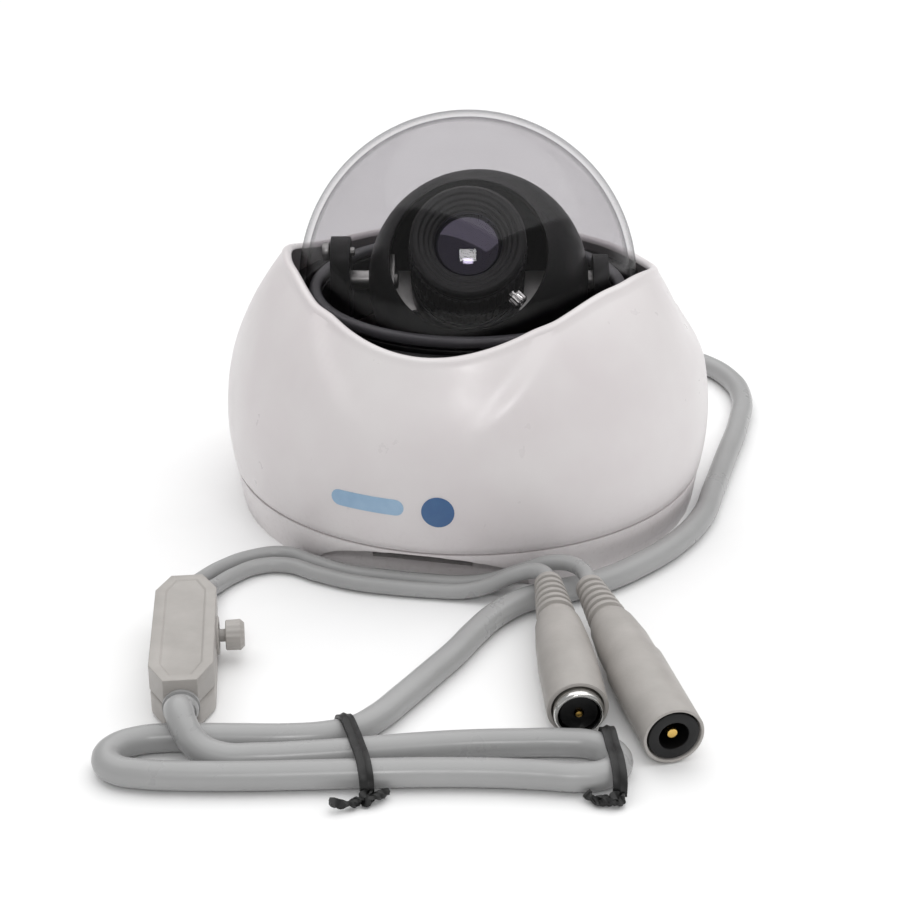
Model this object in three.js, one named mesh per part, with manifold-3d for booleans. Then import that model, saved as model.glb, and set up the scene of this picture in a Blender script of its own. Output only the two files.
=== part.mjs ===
// Dome security camera: a round white housing with a clear bubble over a pan, tilt and roll camera,
// with its lead tied in a hank in front of it, a menu controller in the lead and two tail connectors.
// Millimetres, +Z up, origin at the centre of the underside, front towards -Y.
import * as THREE from 'three';
import { mergeVertices } from 'three/addons/utils/BufferGeometryUtils.js';
import Module from 'manifold-3d';

const wasm = await Module();
wasm.setup();

// ---------- driving dimensions ----------
const GAP = 0.3;
const SHELL_R = 58; // housing sphere
const SHELL_Z = 21.5;
const SHELL_WALL = 2.4;
const SEAM_Z = 9; // top of the base, bottom of the cover
const BASE_R = 55.2; // at the underside
const FLOOR = 3;
const OPENING_LOW = 51.5; // rim height at the front
const OPENING_HIGH = 60.8; // rim height at the sides
const OPENING_BACK = 52; // rim height at the back
const OPENING_RISE = [0, 60]; // degrees from the front over which the rim rises
const OPENING_FALL = [70, 128]; // and over which it falls again
const DOME_R = 39.8;
const DOME_Z = 52.5; // centre of the bubble and of the gimbal
const DOME_WALL = 1.6;
const FLANGE_Z = 38.4;
const FLANGE_R = 45;
const SHELF_Z = 41.6;
const SHELF_THICK = 2;
const SCREW_RING = 47.4;
const LINER_R = 37.6;
const LINER_WALL = 3;
const LINER_TOP = 52;
const FACING = 12; // degrees that the camera and its laid-out lead are turned about Z
const LENS_RISE = 38; // degrees that the lens looks up at rest
const BALL_R = 26;
const BALL_WALL = 1.8;
const BALL_SHIFT = 2.5; // the ball sits this far to the right of the pan axis
const RING_R = 13; // zoom ring
const TRUNK_R = 2.75;
const LEAD_R = 1.75;
const NOTCH_TURN = 26; // half angle of the cable notch in the base
const NOTCH_HIGH = 8.3;
const GLAND_Z = 4.7;
const GLAND_END = 70;

// ---------- finishes ----------
const finish = (color, roughness, metalness = 0, opacity = 1) => new THREE.MeshStandardMaterial({
  color,
  roughness,
  metalness,
  opacity,
  transparent: opacity < 1,
});
const WHITE = finish(0xdcd7d8, 0.4);
const CLEAR = finish(0xb8b8bc, 0.05, 0, 0.35);
const BLACK = finish(0x101012, 0.45);
const DARK = finish(0x4a4a4c, 0.5);
const RUBBER = finish(0x1c1c1c, 0.8);
const STEEL = finish(0xa8a8a6, 0.35, 1);
const CHROME = finish(0xd6d6d6, 0.12, 1);
const GREEN = finish(0x1f5a3a, 0.5);
const LENS = finish(0x20263a, 0.03);
const GREY = finish(0xa9a8a8, 0.5);
const BEIGE = finish(0xb2ada9, 0.55);
const BLUE = finish(0x5f86a8, 0.4);

// ---------- solids ----------
const rad = THREE.MathUtils.degToRad;
const polar = (r, degrees) => [r * Math.cos(rad(degrees)), r * Math.sin(rad(degrees))];

function welded(geometry) {
  const bare = geometry.clone();
  bare.deleteAttribute('normal');
  bare.deleteAttribute('uv');
  bare.clearGroups();
  return mergeVertices(bare, 1e-3);
}

function toSolid(geometry) {
  const shape = welded(geometry);
  const triVerts = new Uint32Array(shape.index.array);
  return new wasm.Manifold(new wasm.Mesh({
    numProp: 3,
    vertProperties: new Float32Array(shape.attributes.position.array),
    triVerts,
  }));
}

function toGeometry(solid) {
  const { vertProperties, triVerts, numProp } = solid.getMesh();
  const points = new Float32Array(triVerts.length * 3);
  triVerts.forEach((vertex, i) => {
    for (let axis = 0; axis < 3; axis += 1) points[3 * i + axis] = vertProperties[vertex * numProp + axis];
  });
  const geometry = new THREE.BufferGeometry();
  geometry.setAttribute('position', new THREE.BufferAttribute(points, 3));
  geometry.computeVertexNormals();
  return geometry;
}

function cut(body, ...tools) {
  return toGeometry(tools.reduce((left, tool) => left.subtract(toSolid(tool)), toSolid(body)));
}

function join(body, ...more) {
  return toGeometry(more.reduce((sum, one) => sum.add(toSolid(one)), toSolid(body)));
}

function common(a, b) {
  return toGeometry(toSolid(a).intersect(toSolid(b)));
}

// A turned solid about Z. The profile's points are [radius, height], anticlockwise.
function turned(profile, segments = 32) {
  const points = profile.map(([r, z]) => new THREE.Vector2(r, z));
  return new THREE.LatheGeometry(points, segments).rotateX(Math.PI / 2);
}

function ring(inner, outer, low, high, segments = 32) {
  return turned([[inner, low], [outer, low], [outer, high], [inner, high], [inner, low]], segments);
}

function rod(radius, low, high, segments = 14) {
  return new THREE.CylinderGeometry(radius, radius, high - low, segments)
    .rotateX(Math.PI / 2)
    .translate(0, 0, (low + high) / 2);
}

function block(low, high) {
  const size = high.map((end, axis) => end - low[axis]);
  const middle = high.map((end, axis) => (end + low[axis]) / 2);
  return new THREE.BoxGeometry(...size).translate(...middle);
}

const sphereRadius = (r, centre, z) => Math.sqrt(r * r - (z - centre) ** 2);

// Points of a sphere's outline between two heights, as [radius, height].
function arc(r, centre, from, to, steps) {
  const [start, end] = [from, to].map((z) => Math.asin(THREE.MathUtils.clamp((z - centre) / r, -1, 1)));
  return Array.from({ length: steps + 1 }, (_, i) => {
    const a = start + ((end - start) * i) / steps;
    return [r * Math.cos(a) < 1e-6 ? 0 : r * Math.cos(a), centre + r * Math.sin(a)];
  });
}

// A plate standing across X, with its outline in Y and Z.
function plateAcross(outline, low, high) {
  return new THREE.ExtrudeGeometry(outline, { depth: high - low, bevelEnabled: false, curveSegments: 10 })
    .rotateX(Math.PI / 2)
    .rotateZ(Math.PI / 2)
    .translate(low, 0, 0);
}

function tube(points, radius, steps) {
  const section = new THREE.Shape();
  section.absarc(0, 0, radius, 0, 2 * Math.PI);
  const path = new THREE.CatmullRomCurve3(points.map((p) => new THREE.Vector3(...p)), false, 'centripetal');
  return new THREE.ExtrudeGeometry(section, { steps, curveSegments: 4, bevelEnabled: false, extrudePath: path });
}

function mesh(parent, name, geometry, material) {
  const node = new THREE.Mesh(geometry, material);
  node.name = name;
  parent.add(node);
  return node;
}

const SCREW_TURNS = [30, 150, 270]; // degrees, for every set of three holes or screws
const LEG_TURNS = [90, 210, 330];

// Copies of a piece made on the Z axis, at the given turns round a circle.
function around(piece, radius, turns = SCREW_TURNS) {
  return turns.map((turn) => piece.clone().translate(...polar(radius, turn), 0));
}

// ---------- base: floor, wall, board and the fixed pan bearing ----------
const BOARD_Z = 6;
const BOARD_THICK = 1.6;
const BOARD_TOP = BOARD_Z + BOARD_THICK;
const BOARD_R = 28.5;
const BOARD_SCREW_RING = 24;
const BOARD_PARTS_TOP = 12.8;
const FIXING_RING = 43;
const RIM_R = 56.5; // the base's outside at the seam
const SPIGOT_OUTER = 52.4; // the cover slips over this collar
const SPIGOT_INNER = 50.4;
const SPIGOT_TOP = 13.5;
const NOTCH_R = 56; // radius at which the notch's width is set
const PAN_BASE_LOW = 13.5;
const PAN_BASE_HIGH = 16.6;
const HUB_R = 12;
const LEG_RING = 32.5;

function baseRing() {
  const body = turned([
    [0, 0],
    [BASE_R, 0],
    [RIM_R, SEAM_Z - GAP],
    [SPIGOT_OUTER, SEAM_Z - GAP],
    [SPIGOT_OUTER, SPIGOT_TOP],
    [SPIGOT_INNER, SPIGOT_TOP],
    [SPIGOT_INNER, FLOOR],
    [0, FLOOR],
  ], 48);
  const bosses = around(rod(2.6, FLOOR - 0.2, BOARD_Z - GAP), BOARD_SCREW_RING);
  const bossBores = around(rod(1.3, 3.6, BOARD_Z), BOARD_SCREW_RING);
  const fixings = around(rod(2.3, -1, FLOOR + 1), FIXING_RING);
  const notch = new THREE.CylinderGeometry(1, 1, 12, 28)
    .scale(NOTCH_R * Math.sin(rad(NOTCH_TURN)), 1, NOTCH_HIGH)
    .translate(0, -55, 0);
  const glandHole = rod(3.9, 45, 60).rotateX(-Math.PI / 2).translate(0, 0, GLAND_Z);
  return cut(join(body, ...bosses), ...bossBores, ...fixings, notch, glandHole);
}

function panBase() {
  const legs = around(rod(3.2, FLOOR + GAP, PAN_BASE_LOW + 0.2), LEG_RING, LEG_TURNS);
  return join(ring(HUB_R + 0.4, 36, PAN_BASE_LOW, PAN_BASE_HIGH, 36), ...legs);
}

function addBase(parent) {
  mesh(parent, 'base_ring', baseRing(), WHITE);
  mesh(parent, 'cover_seal', ring(52.7, 54.1, 10, 11.6, 32), RUBBER);
  const screwHoles = around(rod(1.3, 0, 10), BOARD_SCREW_RING);
  mesh(parent, 'main_board', cut(rod(BOARD_R, BOARD_Z, BOARD_TOP, 32), ...screwHoles), GREEN);
  const screw = join(rod(2.5, BOARD_TOP + GAP, BOARD_TOP + 1.9, 10), rod(1, 4, BOARD_TOP + 0.5, 8));
  SCREW_TURNS.forEach((turn, i) => {
    mesh(parent, `board_screw_${i + 1}`, screw, STEEL).position.set(...polar(BOARD_SCREW_RING, turn), 0);
  });
  const standing = BOARD_TOP + GAP;
  mesh(parent, 'board_connector', block([-8, -21, standing], [8, -16.5, BOARD_PARTS_TOP]), BEIGE);
  mesh(parent, 'board_capacitor', rod(3.2, standing, BOARD_PARTS_TOP).translate(-4, 20.5, 0), DARK);
  mesh(parent, 'pan_base', panBase(), BLACK);
  mesh(parent, 'pan_clip', ring(HUB_R + GAP, 15.5, 11.9, PAN_BASE_LOW - GAP, 24), STEEL);
  const gland = turned([
    [0, 47],
    [3.6, 47],
    [3.6, 56.9],
    [4.5, 57],
    [4.5, 59],
    [3.9, 60],
    [3.2, GLAND_END],
    [0, GLAND_END],
  ], 16).rotateX(-Math.PI / 2).translate(0, 0, GLAND_Z);
  mesh(parent, 'cable_gland', gland, GREY);
}

// ---------- cover: shell, bubble and the rings that clamp it ----------
// Height of the opening's edge towards a point: high at the sides, dipping at the front and the back.
function openingHeight(x, y) {
  const turn = THREE.MathUtils.radToDeg(Math.atan2(Math.abs(x), -y));
  const rise = THREE.MathUtils.smoothstep(turn, ...OPENING_RISE);
  const fall = THREE.MathUtils.smoothstep(turn, ...OPENING_FALL);
  return OPENING_LOW + (OPENING_HIGH - OPENING_LOW) * rise - (OPENING_HIGH - OPENING_BACK) * fall;
}

// Everything above the opening's edge. Its floor runs straight out from the axis through the rim.
function aboveOpening() {
  const reach = 70;
  const top = 110;
  const solid = welded(new THREE.CylinderGeometry(reach, reach, 40, 48).rotateX(Math.PI / 2));
  const place = solid.attributes.position;
  for (let i = 0; i < place.count; i += 1) {
    const [x, y] = [place.getX(i), place.getY(i)];
    const edge = openingHeight(x, y);
    const outwards = Math.hypot(x, y) / sphereRadius(SHELL_R, SHELL_Z, edge);
    const floor = OPENING_HIGH + (edge - OPENING_HIGH) * outwards;
    place.setZ(i, place.getZ(i) > 0 ? top : floor);
  }
  return solid;
}

const BADGE = { x: -4.25, z: 20.5, half: 12.25, radius: 2.5, deep: 0.9 };

// A rounded bar through the front of the housing, along Y.
function badgeBar(radius) {
  const bar = new THREE.Shape();
  bar.absarc(BADGE.half, 0, radius, -Math.PI / 2, Math.PI / 2);
  bar.absarc(-BADGE.half, 0, radius, Math.PI / 2, (3 * Math.PI) / 2);
  return new THREE.ExtrudeGeometry(bar, { depth: 20, bevelEnabled: false, curveSegments: 6 })
    .rotateX(Math.PI / 2)
    .translate(BADGE.x, -45, BADGE.z);
}

// The layer of the housing's skin between two radii, round the height of the badge.
function badgeZone(inner, outer) {
  const outside = arc(outer, SHELL_Z, 12, 30, 6);
  return turned([...outside, ...arc(inner, SHELL_Z, 30, 12, 6), outside[0]], 72);
}

function coverShell() {
  const inner = SHELL_R - SHELL_WALL;
  const low = SEAM_Z;
  const high = 66;
  const skin = turned([
    ...arc(SHELL_R, SHELL_Z, low, high, 11),
    ...arc(inner, SHELL_Z, high, low, 7),
    [sphereRadius(SHELL_R, SHELL_Z, low), low],
  ], 48);
  const room = DOME_R + 0.6; // the bubble passes through with this radius to spare
  const shelf = ring(room, 52.2, SHELF_Z, SHELF_Z + SHELF_THICK, 32);
  const clearance = turned([[0, 30], [room, 30], ...arc(room, DOME_Z, DOME_Z, DOME_Z + room, 7)], 32);
  const holes = around(rod(1.4, 35, 45, 10), SCREW_RING);
  const pocket = common(badgeZone(SHELL_R - BADGE.deep - GAP, SHELL_R + 2), badgeBar(BADGE.radius + GAP));
  return cut(join(cut(skin, aboveOpening(), clearance), shelf), ...holes, pocket);
}

function addCover(parent) {
  mesh(parent, 'cover_shell', coverShell(), WHITE);
  const wall = DOME_R - DOME_WALL;
  const bubble = turned([
    [wall, FLANGE_Z],
    [FLANGE_R, FLANGE_Z],
    [FLANGE_R, FLANGE_Z + 1.6],
    [DOME_R, FLANGE_Z + 1.6],
    ...arc(DOME_R, DOME_Z, DOME_Z, DOME_Z + DOME_R, 7),
    ...arc(wall, DOME_Z, DOME_Z + wall, DOME_Z, 6),
    [wall, FLANGE_Z],
  ], 32);
  mesh(parent, 'clear_dome', bubble, CLEAR);
  mesh(parent, 'dome_gasket', ring(DOME_R + 0.4, FLANGE_R, 40.3, SHELF_Z - GAP, 36), RUBBER);
  mesh(parent, 'trim_ring', ring(DOME_R + 0.5, 45.5, SHELF_Z + SHELF_THICK + GAP, 49.5, 36), BLACK);
  const screwHoles = around(rod(1.4, 35, 40, 10), SCREW_RING);
  mesh(parent, 'dome_clamp_ring', cut(ring(38.5, 50, 36.2, FLANGE_Z - GAP, 36), ...screwHoles), DARK);
  const screw = join(rod(2.4, 34, 35.9, 10), rod(1, 35.5, 43.2, 8));
  SCREW_TURNS.forEach((turn, i) => {
    mesh(parent, `clamp_screw_${i + 1}`, screw, STEEL).position.set(...polar(SCREW_RING, turn), 0);
  });
  const liner = turned([
    [LINER_R - LINER_WALL, 34.2],
    [44.2, 34.2],
    [44.2, 35.9],
    [LINER_R, 35.9],
    [LINER_R, LINER_TOP],
    [LINER_R - LINER_WALL, LINER_TOP],
    [LINER_R - LINER_WALL, 34.2],
  ], 40);
  mesh(parent, 'inner_liner', liner, BLACK);
  const badgeSkin = badgeZone(SHELL_R - BADGE.deep, SHELL_R - 0.05);
  mesh(parent, 'badge_bar', common(badgeSkin, badgeBar(BADGE.radius)), BLUE);
}

// ---------- pan: turntable and the two arms ----------
const TABLE_LOW = 17;
const TABLE_TOP = 20;
const LEFT_ARM = { low: -32.2, high: -27.6, top: 63 };
const RIGHT_ARM = { low: 29.4, high: 33, top: 58.5 };
const LOCK_Z = 59.5; // tilt lock screw

function armOutline(halfWidth, top, headRadius) {
  const outline = new THREE.Shape();
  outline.moveTo(-halfWidth, TABLE_TOP + GAP);
  outline.lineTo(halfWidth, TABLE_TOP + GAP);
  outline.lineTo(headRadius, top - headRadius);
  outline.absarc(0, top - headRadius, headRadius, 0, Math.PI);
  outline.closePath();
  const bore = new THREE.Path();
  bore.absarc(0, DOME_Z, 2.5, 0, 2 * Math.PI, true);
  outline.holes.push(bore);
  return outline;
}

function addPan(parent) {
  const table = turned([
    [7, 11],
    [HUB_R, 11],
    [HUB_R, TABLE_LOW],
    [34, TABLE_LOW],
    [34, TABLE_TOP],
    [7, TABLE_TOP],
    [7, 11],
  ], 36);
  mesh(parent, 'turntable', table, BLACK);
  const lockBore = rod(1.4, -40, -20, 10).rotateY(Math.PI / 2).translate(0, 0, LOCK_Z);
  const left = plateAcross(armOutline(6, LEFT_ARM.top, 5.5), LEFT_ARM.low, LEFT_ARM.high);
  const right = plateAcross(armOutline(6, RIGHT_ARM.top, 6), RIGHT_ARM.low, RIGHT_ARM.high);
  mesh(parent, 'yoke_left', cut(left, lockBore), BLACK);
  mesh(parent, 'yoke_right', right, BLACK);
  const screw = join(rod(3, TABLE_TOP + GAP, 25, 12), rod(1.5, 25 - 0.2, 26, 10));
  mesh(parent, 'pan_lock_screw', screw, STEEL).position.set(0, 29.5, 0);
  const headEnd = LEFT_ARM.low - GAP;
  const tiltLock = join(rod(2.2, headEnd - 1.7, headEnd, 12), rod(1.1, headEnd - 0.5, -26.6, 10));
  mesh(parent, 'tilt_lock_screw', tiltLock.rotateY(Math.PI / 2), STEEL).position.z = LOCK_Z;
}

// ---------- tilt: ball, bracket and pivot pins; here Z is the lens axis and X the tilt axis ----------
function cameraBall() {
  const inner = BALL_R - BALL_WALL;
  const back = -21;
  const skin = turned([
    ...arc(BALL_R, 0, back, BALL_R, 8),
    ...arc(inner, 0, inner, back, 6),
    [sphereRadius(BALL_R, 0, back), back],
  ], 28).translate(BALL_SHIFT, 0, 0);
  const window = rod(18, 10, 30, 28);
  const pinWay = rod(2.6, -40, 40).rotateY(Math.PI / 2);
  return cut(skin, window, pinWay);
}

function cameraBracket() {
  const plate = block([BALL_SHIFT - 21, -5, -9.6], [BALL_SHIFT + 21, 5, -8.4]);
  const leftEar = block([BALL_SHIFT - 21, -5, -9.5], [BALL_SHIFT - 19.8, 5, 4]);
  const rightEar = block([BALL_SHIFT + 19.8, -5, -9.5], [BALL_SHIFT + 21, 5, 4]);
  const pinWay = rod(2.5, -40, 40).rotateY(Math.PI / 2);
  return cut(join(plate, leftEar, rightEar), pinWay);
}

function addTilt(parent) {
  mesh(parent, 'camera_ball', cameraBall(), BLACK);
  mesh(parent, 'camera_bracket', cameraBracket(), STEEL);
  mesh(parent, 'tilt_pin_left', rod(2.2, -31, -16.5).rotateY(Math.PI / 2), STEEL);
  mesh(parent, 'tilt_pin_right', rod(2.2, 21, 32).rotateY(Math.PI / 2), STEEL);
}

// ---------- camera: sensor and varifocal lens along Z ----------
function lockScrew(ringRadius) {
  const head = rod(1.9, ringRadius + 1.3, ringRadius + 3.8, 12);
  const shank = rod(0.9, ringRadius + GAP, ringRadius + 1.5, 8);
  return join(head, shank).rotateY(Math.PI / 2);
}

function addCamera(parent) {
  mesh(parent, 'sensor_board', block([-11, -11, -7.5], [11, 11, -6.3]), GREEN);
  mesh(parent, 'sensor_chip', block([-5, -5, -6], [5, 5, -4.6]), LENS);
  mesh(parent, 'lens_mount', ring(9.5, 13.5, -6, 3.7, 28), BLACK);
  const barrel = turned([[8.6, 4], [13, 4], [13, 5.2], [10.6, 5.2], [10.6, 25], [8.6, 25], [8.6, 4]], 28);
  mesh(parent, 'lens_barrel', barrel, BLACK);
  mesh(parent, 'zoom_ring', ring(10.9, RING_R, 5.6, 12.6, 28), BLACK);
  const zoomLock = mesh(parent, 'zoom_lock_screw', lockScrew(RING_R), STEEL);
  zoomLock.position.z = 9.1;
  zoomLock.rotation.z = rad(135);
  mesh(parent, 'focus_ring', ring(10.9, RING_R + 0.4, 13.4, 24.6, 28), BLACK);
  const focusLock = mesh(parent, 'focus_lock_screw', lockScrew(RING_R + 0.4), CHROME);
  focusLock.position.z = 19.5;
  focusLock.rotation.z = rad(-45);
  const bezel = [[7.6, 25.3], [RING_R, 25.3], [RING_R, 28], [12.2, 28.6], [9.6, 28.2], [7.6, 25.9], [7.6, 25.3]];
  mesh(parent, 'lens_bezel', turned(bezel, 28), BLACK);
  const glass = [[0, 20], [8.3, 20], [8.3, 24], [6, 25.4], [3.2, 26.2], [0, 26.5]];
  mesh(parent, 'front_glass', turned(glass, 24), LENS);
}

// ---------- lead, laid out on the surface in front ----------
// The route of the trunk, from the gland round the right of the housing to the hank.
const TRUNK = [
  [14.7, 69.1, 4.7], [16.6, 77, 4], [23, 85.5, 3], [34, 88.5, 2.95], [46, 83.5, 2.95], [57, 75.5, 2.95],
  [66.5, 67.5, 2.95], [72, 57.5, 2.95], [73.7, 45, 2.95], [70.5, 27, 2.95], [64.5, 6, 2.95], [59, -13, 2.95],
  [55.4, -25, 2.95], [48.2, -38.2, 2.95], [37.9, -50, 2.95], [28.4, -57.6, 2.95], [20, -61.7, 2.95],
  [12.6, -65.2, 2.95], [6.2, -71.4, 2.95], [1.5, -79, 2.95], [-2.6, -87, 2.95], [-7.6, -95.3, 2.95],
  [-12.9, -103.9, 2.95], [-17.6, -111, 2.95],
];
const VIDEO_LEAD = [
  [-57.5, -68.7, 5.7], [-57.1, -64.6, 4.4], [-55.4, -58.6, 2.4], [-51.9, -52.8, 1.95], [-46.8, -48.6, 1.95],
  [-40.6, -48, 1.95], [-33.2, -52.1, 1.95], [-25, -55.9, 1.95], [-16.4, -58, 1.95], [-7.6, -59.4, 1.95],
  [-0.8, -60.4, 2.4], [5, -61.2, 4.3], [9.8, -61.6, 6.8], [13.8, -62.4, 8.4], [16.4, -64.4, 8.8],
  [17, -67.2, 8.5],
];
const POWER_LEAD = [
  [-61.4, -68.3, 5.7], [-61.1, -63.6, 4.4], [-59.4, -56.4, 2.4], [-55.2, -49.4, 1.95], [-48.8, -44.2, 1.95],
  [-41.5, -42.6, 1.95], [-34.4, -46.8, 1.95], [-26.4, -51.3, 1.95], [-17.6, -53.6, 1.95], [-8.6, -55.4, 1.95],
  [-0.2, -56.6, 2.2], [6.4, -57.4, 3.7], [12.4, -58.2, 6.4], [18.2, -59.2, 8.7], [22.8, -61.4, 9.3],
  [25.2, -65, 9], [25.6, -68.7, 8.5],
];
const HANK = { x: -21.6, y: -124.6, half: 52, wide: 9.2, high: 6, turn: -2 };
const CONTROLLER = { x: -57.2, y: -90.2, turn: -84, half: 20.8, wide: 6.3, low: 0.2, high: 11.4 };
const VIDEO_JACK = { from: [17, -67.5, 8.5], to: [21.2, -116, 6.2], boot: 42.5 };
const POWER_JACK = { from: [25.6, -69, 8.5], to: [38.4, -122.4, 6.3] };

// Stands a turned piece on a straight line between two points, its foot at the first.
function along(piece, from, to) {
  const start = new THREE.Vector3(...from);
  const way = new THREE.Vector3(...to).sub(start).normalize();
  piece.position.copy(start);
  piece.quaternion.setFromUnitVectors(new THREE.Vector3(0, 0, 1), way);
}

function hank() {
  const outline = new THREE.Shape();
  const reach = HANK.half - HANK.wide;
  outline.absarc(reach, 0, HANK.wide, -Math.PI / 2, Math.PI / 2);
  outline.absarc(-reach, 0, HANK.wide, Math.PI / 2, (3 * Math.PI) / 2);
  return new THREE.ExtrudeGeometry(outline, { depth: HANK.high - 0.2, bevelEnabled: false, curveSegments: 12 })
    .translate(0, 0, 0.2);
}

// A wire tie over the hank, drawn as a staple whose legs reach the surface, with its twisted tail.
function tie(halfWidth) {
  const top = HANK.high + GAP;
  const bar = block([-1.1, -halfWidth - GAP - 1, top], [1.1, halfWidth + GAP + 1, top + 1]);
  const legs = [-1, 1].map((side) => {
    const near = side * (halfWidth + GAP);
    const far = near + side;
    return block([-1.1, Math.min(near, far), 0.2], [1.1, Math.max(near, far), top + 0.5]);
  });
  const tail = block([-3.5, -halfWidth - GAP - 3.2, 0.2], [3.5, -halfWidth - GAP - 0.6, 2.2]);
  return join(bar, ...legs, tail);
}

function addVideoJack(parent, relief) {
  const videoBoot = turned([[0, 0], ...relief, [6, 34], [6, VIDEO_JACK.boot], [0, VIDEO_JACK.boot]], 20);
  const start = VIDEO_JACK.boot + GAP;
  const barrel = turned([
    [0, start],
    [4.85, start],
    [4.85, start + 5.1],
    [4.1, start + 5.1],
    [4.1, start + 1],
    [0, start + 1],
  ], 24);
  const insulator = ring(1, 3.7, start + 1.3, start + 4.4, 16);
  const pin = rod(0.7, start + 1.3, start + 4.8, 8);
  const { from, to } = VIDEO_JACK;
  along(mesh(parent, 'video_boot', videoBoot, BEIGE), from, to);
  along(mesh(parent, 'video_barrel', barrel, CHROME), from, to);
  along(mesh(parent, 'video_insulator', insulator, WHITE), from, to);
  along(mesh(parent, 'video_pin', pin, CHROME), from, to);
}

function addPowerJack(parent, relief) {
  const { from, to } = POWER_JACK;
  const length = new THREE.Vector3(...from).distanceTo(new THREE.Vector3(...to));
  const powerBoot = turned([
    [0, 0],
    ...relief,
    [6, 34],
    [6, length],
    [5.3, length],
    [5.3, length - 9],
    [0, length - 9],
  ], 20);
  const socket = turned([
    [0, length - 8.7],
    [5, length - 8.7],
    [5, length],
    [2.9, length],
    [2.9, length - 7.4],
    [0, length - 7.4],
  ], 20);
  const pin = rod(1.05, length - 7.1, length - 1, 10);
  along(mesh(parent, 'power_boot', powerBoot, BEIGE), from, to);
  along(mesh(parent, 'power_socket', socket, BLACK), from, to);
  along(mesh(parent, 'power_pin', pin, CHROME), from, to);
}

// The controller lies on its back: X runs along the lead and the joystick stands out of its +Y side.
const STICK_X = -4.5;
const STICK_Y = 2.4;
const SPLIT_Z = 5.8;

function controllerOutline(inset) {
  const { half, wide } = CONTROLLER;
  const end = half - inset;
  const side = wide - inset;
  const outline = new THREE.Shape();
  [
    [-end, -side + 3], [-end + 6, -side], [end - 6, -side], [end, -side + 3],
    [end, side - 3], [end - 6, side], [-end + 6, side], [-end, side - 3],
  ].forEach(([x, y], i) => (i ? outline.lineTo(x, y) : outline.moveTo(x, y)));
  outline.closePath();
  return outline;
}

function controllerHalf(low, high, floorLow, floorHigh) {
  const body = new THREE.ExtrudeGeometry(controllerOutline(0), { depth: high - low, bevelEnabled: false })
    .translate(0, 0, low);
  const hollow = new THREE.ExtrudeGeometry(controllerOutline(1.4), { depth: 20, bevelEnabled: false })
    .translate(0, 0, floorLow > low ? floorLow - 20 : floorHigh);
  const stickWay = rod(2.7, STICK_Y + 0.5, 12).rotateX(-Math.PI / 2).translate(STICK_X, 0, SPLIT_Z);
  return cut(body, hollow, stickWay);
}

function addController(parent) {
  const { low, high, half } = CONTROLLER;
  const lower = controllerHalf(low, SPLIT_Z - GAP / 2, low, low + 1.3);
  const upper = controllerHalf(SPLIT_Z + GAP / 2, high, high - 1.3, high);
  mesh(parent, 'controller_lower', lower, BEIGE);
  mesh(parent, 'controller_upper', upper, BEIGE);
  mesh(parent, 'controller_board', block([-13, -4.4, low + 1.6], [13, 1.2, low + 2.8]), GREEN);
  const relief = turned([[0, half + GAP], [3.6, half + GAP], [3, half + 2.8], [0, half + 2.8]], 14);
  mesh(parent, 'controller_relief', relief.rotateY(Math.PI / 2).translate(0, 0, SPLIT_Z), GREY);
  const ball = new THREE.SphereGeometry(1.9, 10, 8).translate(STICK_X, STICK_Y, SPLIT_Z);
  mesh(parent, 'joystick_pivot', ball, STEEL);
  const stick = rod(1.3, 2.2, 6.7, 12).rotateX(-Math.PI / 2).translate(STICK_X, STICK_Y, SPLIT_Z);
  mesh(parent, 'joystick_stick', stick, BEIGE);
  const cap = turned([[1.65, 5.7], [3, 5.7], [3.2, 8.7], [2.4, 9.5], [0, 9.5], [0, 7.5], [1.65, 7.5], [1.65, 5.7]], 16);
  mesh(parent, 'joystick_cap', cap.rotateX(-Math.PI / 2).translate(STICK_X, STICK_Y, SPLIT_Z), BEIGE);
}

function addLead(parent) {
  mesh(parent, 'trunk_cable', tube(TRUNK, TRUNK_R, 38), GREY);
  mesh(parent, 'video_lead', tube(VIDEO_LEAD, LEAD_R, 20), GREY);
  mesh(parent, 'power_lead', tube(POWER_LEAD, LEAD_R, 20), GREY);
  const bundle = new THREE.Group();
  bundle.position.set(HANK.x, HANK.y, 0);
  bundle.rotation.z = rad(HANK.turn);
  mesh(bundle, 'cable_hank', hank(), GREY);
  mesh(bundle, 'wire_tie_left', tie(HANK.wide), BLACK).position.x = 1.6;
  mesh(bundle, 'wire_tie_right', tie(HANK.wide - 1.2), BLACK).position.x = 48.4;
  parent.add(bundle);
  const relief = [[2.6, 0], [3.7, 14], [4.6, 18], [5.4, 24]]; // both jacks' strain relief
  addVideoJack(parent, relief);
  addPowerJack(parent, relief);
  const controller = new THREE.Group();
  controller.position.set(CONTROLLER.x, CONTROLLER.y, 0);
  controller.rotation.z = rad(CONTROLLER.turn);
  addController(controller);
  parent.add(controller);
}

// ---------- assembly ----------
const camera = new THREE.Group();
addBase(camera);
addCover(camera);

const gimbal = new THREE.Group();
gimbal.rotation.z = rad(FACING);
addPan(gimbal);
camera.add(gimbal);

const head = new THREE.Group();
head.position.z = DOME_Z;
head.rotation.x = rad(90 - LENS_RISE);
addTilt(head);
addCamera(head);
gimbal.add(head);

const lead = new THREE.Group();
lead.rotation.z = rad(FACING);
addLead(lead);
camera.add(lead);

export default camera;
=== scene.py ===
"""Looks of a dome security camera with its tied lead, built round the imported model.

Shapes are worked out in millimetres, with +Z up and the front towards -Y. Each one is turned to metres
when it is finished.
"""

import math

import bmesh
import bpy
from mathutils import Matrix, Vector


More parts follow.
